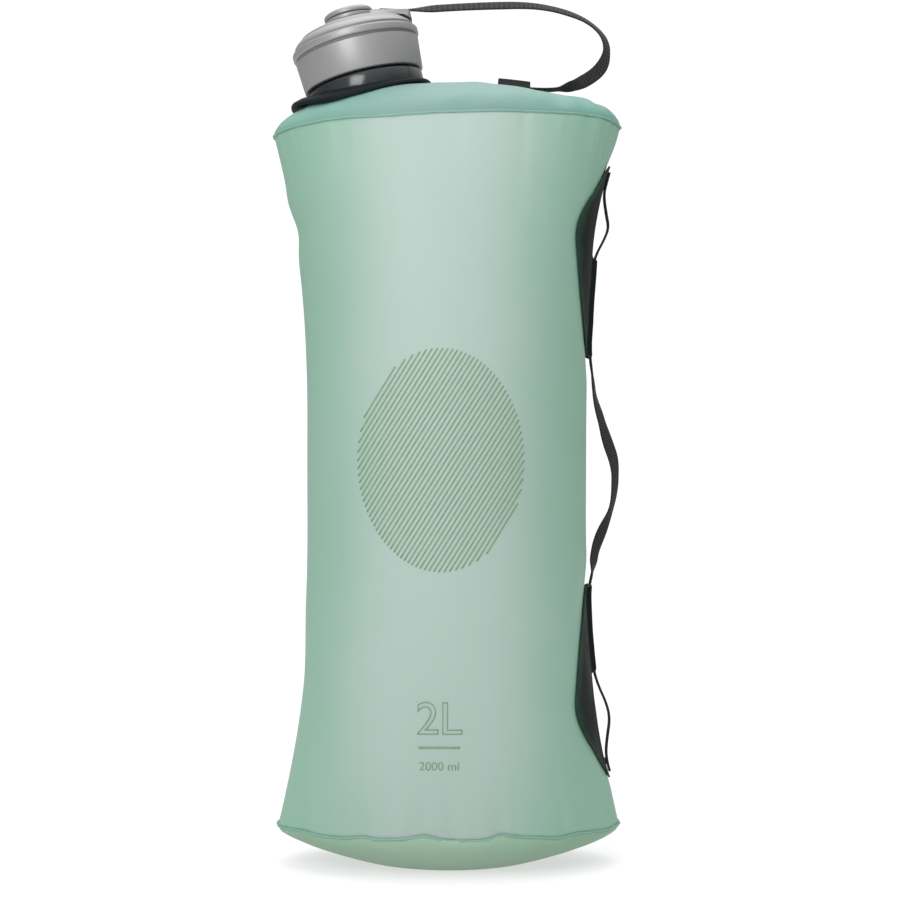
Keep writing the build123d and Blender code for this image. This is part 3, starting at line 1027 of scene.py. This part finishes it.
def leash_keeper():
    """A low woven bridge over the leash, sewn down at both sides."""
    low_x, high_x = keeper_box[0].x, keeper_box[1].x
    half, proud = 4.6 * MM, 3.2 * MM

    def place(u, v):
        x = low_x + (high_x - low_x) * u
        share = v * 2 - 1
        side = math.copysign(min(1.0, abs(share) * 1.6), share)
        up = proud * (1 - smoothstep(0.72, 1.0, abs(share)))
        y = half * side * (1 + 0.12 * smoothstep(0.8, 1.0, abs(share)))
        middle = dome_z(x, 0)
        return Vector((x, y, middle + (dome_z(x, y) - middle) * smoothstep(0.6, 1.0, abs(share)) + up))

    bm = mapped_grid(24, 40, place)
    face_away(bm, lambda point: Vector((point.x, 0, TOP_SEAM_Z)))
    piece = thicken(as_piece("leash_bridge", bm, webbing), 0.8 * MM)
    round_edges(piece, 0.2 * MM, 2, 50)
    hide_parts("leash_keeper")
    return piece


# ---------------------------------------------------------------- side patches

# Share of the leaf's length from its tip, and half its width there in millimetres.
LEAF = [
    (0.0, 0.0), (0.012, 3.2), (0.05, 7.2), (0.14, 14.6), (0.26, 22.4), (0.38, 26.0), (0.54, 24.6),
    (0.72, 20.9), (0.86, 16.0), (0.95, 10.4), (0.985, 6.0), (1.0, 0.0),
]


def leaf_half(share):
    """Half the leaf's width in metres, from its tip at 0 to its blunt end at 1, smooth through LEAF."""
    slopes = [(b[1] - a[1]) / (b[0] - a[0]) for a, b in zip(LEAF, LEAF[1:])]
    bends = [slopes[0]] + [(a + b) / 2 for a, b in zip(slopes, slopes[1:])] + [slopes[-1]]
    for i, ((place_a, half_a), (place_b, half_b)) in enumerate(zip(LEAF, LEAF[1:])):
        if share <= place_b:
            span = place_b - place_a
            t = (share - place_a) / span
            start = half_a * (1 + 2 * t) * (1 - t) ** 2 + bends[i] * span * t * (1 - t) ** 2
            end = half_b * t * t * (3 - 2 * t) + bends[i + 1] * span * t * t * (t - 1)
            return max(0.0, start + end) * MM
    return 0.0


def side_patch(name, tip, end, sleeve_start, node):
    """A leaf-shaped film patch round the strap's side, with the raised sleeve that holds the strap."""
    def place(u, v):
        share = 0.5 - 0.5 * math.cos(math.pi * v)
        z = tip + (end - tip) * share
        y = (u * 2 - 1) * leaf_half(share)
        depth = half_depth(half_width(z))
        turn = math.asin(max(-1.0, min(1.0, y / depth)))
        in_sleeve = smoothstep(sleeve_start, sleeve_start + (end - sleeve_start) * 0.035, z)
        raised = in_sleeve * (1 - smoothstep(2.5 * MM, 4.2 * MM, abs(y)))
        pucker = noise.noise(Vector((y * 160, z * 90, 4.0))) * 0.22 * MM
        return side_point(turn, z, PATCH_GAP + PATCH_THICK + (SLEEVE_ROOM + 0.2 * MM) * raised + pucker)

    bm = join_seams(mapped_grid(56, 110, place))
    face_away(bm, middle_line)
    piece = thicken(as_piece(name, bm, patch_dark), PATCH_THICK)
    round_edges(piece, 0.16 * MM, 2, 50)
    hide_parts(node)
    return piece


# ---------------------------------------------------------------- print on the front

def front_point(x, z, lift=PRINT_LIFT):
    """The point of the front film at that x and z."""
    turn = math.tau - math.acos(max(-1.0, min(1.0, x / half_width(z))))
    return side_point(turn, z, lift)


def hatched_oval():
    """A plain oval filled with slanting lines."""
    centre = Vector((-2.0 * MM, 145.4 * MM))
    half = Vector((28.4 * MM, 38.0 * MM))
    slant = math.radians(58)
    ahead = Vector((math.cos(slant), math.sin(slant)))
    aside = Vector((-ahead.y, ahead.x))
    pitch, line_width = 1.5 * MM, 0.5 * MM
    bm = bmesh.new()
    reach = half.length
    count = int(reach / pitch)
    for row in range(-count, count + 1):
        shift = aside * (row * pitch)
        a = (ahead.x / half.x) ** 2 + (ahead.y / half.y) ** 2
        b = 2 * (shift.x * ahead.x / half.x**2 + shift.y * ahead.y / half.y**2)
        c = (shift.x / half.x) ** 2 + (shift.y / half.y) ** 2 - 1
        room = b * b - 4 * a * c
        if room <= 0:
            continue
        start, end = (-b - math.sqrt(room)) / (2 * a), (-b + math.sqrt(room)) / (2 * a)
        if end - start < 3 * MM:
            continue

        def place(u, v, shift=shift, start=start, end=end):
            spot = centre + shift + ahead * (start + (end - start) * v) + aside * (line_width * (u - 0.5))
            return front_point(spot.x, spot.y)

        mapped_grid(1, max(4, int((end - start) / (2 * MM))), place, bm)
    face_away(bm, middle_line)
    return thicken(as_piece("print_oval", bm, ink), PRINT_THICK, 1.0)


def lettering(body, size, centre_x, base_z, outline):
    """Plain figures laid on the front film. Outlined ones are drawn with a thin line."""
    data = bpy.data.curves.new("figures", "FONT")
    data.body = body
    data.size = size
    data.align_x = "CENTER"
    if outline:
        data.fill_mode = "NONE"
        data.bevel_depth = outline
        data.bevel_resolution = 1
    else:
        data.extrude = 0.03 * MM
    mesh = drawn_mesh(data)
    bm = bmesh.new()
    bm.from_mesh(mesh)
    bpy.data.meshes.remove(mesh)
    bmesh.ops.remove_doubles(bm, verts=bm.verts, dist=1e-6)
    for vertex in bm.verts:
        x, y, out = vertex.co
        vertex.co = front_point(centre_x + x, base_z + y, PRINT_LIFT + out)
    bmesh.ops.recalc_face_normals(bm, faces=bm.faces)
    return bm


def capacity_print():
    """The capacity: outlined figures, a rule and a small second line."""
    centre_x = -2.6 * MM
    pieces = []
    figures = lettering("2L", 16.0 * MM, centre_x, 51.9 * MM, 0.2 * MM)
    pieces.append(as_piece("print_capacity", figures, ink))
    small = lettering("2000 ml", 4.3 * MM, centre_x, 39.2 * MM, 0)
    pieces.append(as_piece("print_volume", small, ink))

    def place(u, v):
        return front_point(centre_x + (u - 0.5) * 14.2 * MM, 47.2 * MM + (v - 0.5) * 0.8 * MM)

    rule = mapped_grid(20, 2, place)
    face_away(rule, middle_line)
    pieces.append(thicken(as_piece("print_rule", rule, ink), PRINT_THICK, 1.0))
    return pieces


# ---------------------------------------------------------------- assembly

def soft_with_bag(piece):
    """A soft piece of the bag: parented to the bag's body, with a mesh of its own."""
    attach(piece, "bag")
    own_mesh(piece)


def rigid(piece, body):
    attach(piece, body)


bpy.context.scene.view_settings.view_transform = "Standard"
add_world()
add_camera()
add_light("key", (-0.35, -0.95, 0.60), (0, 0, 0.16), (0.45, 0.45), 5)
add_light("top", (0.0, 0.1, 1.3), (0, 0, 0.2), (1.2, 1.0), 6)

floor_bm = bmesh.new()
just_under = Matrix.Translation((0, 0, -0.2 * MM))
bmesh.ops.create_grid(floor_bm, x_segments=1, y_segments=1, size=4.0, matrix=just_under)
floor = as_piece("floor", floor_bm, floor_finish())

for film in (side_film("front_film", math.pi, "front_panel"), side_film("back_film", 0.0, "back_panel")):
    soft_with_bag(film)
for film in (top_film(), foot_film(), weld_bead("top_weld", True), weld_bead("foot_weld", False)):
    soft_with_bag(film)
for patch in (
    side_patch("upper_patch", upper_box[1].z, upper_box[0].z, UPPER_SLEEVE_Z, "upper_anchor"),
    side_patch("lower_patch", lower_box[0].z, lower_box[1].z, LOWER_SLEEVE_Z, "lower_anchor"),
):
    soft_with_bag(patch)
for mark in (hatched_oval(), *capacity_print()):
    soft_with_bag(mark)

for part in neck_spout():
    rigid(part, "bag")
rigid(cap_shell(), "cap")
rigid(swivel_pin(), "cap")
rigid(leash_swivel(), "swivel")
rigid(swivel_tack(), "swivel")
rigid(leash_keeper(), "bag")
rigid(side_strap(), "bag")
rigid(strap_tacks(), "bag")

tether = leash()
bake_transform(tether)

for node, material in (("cap_liner", liner_grey), ("cap_seal", seal_rubber)):
    for held in frame["nodes"][node].material_slots:
        held.material = material
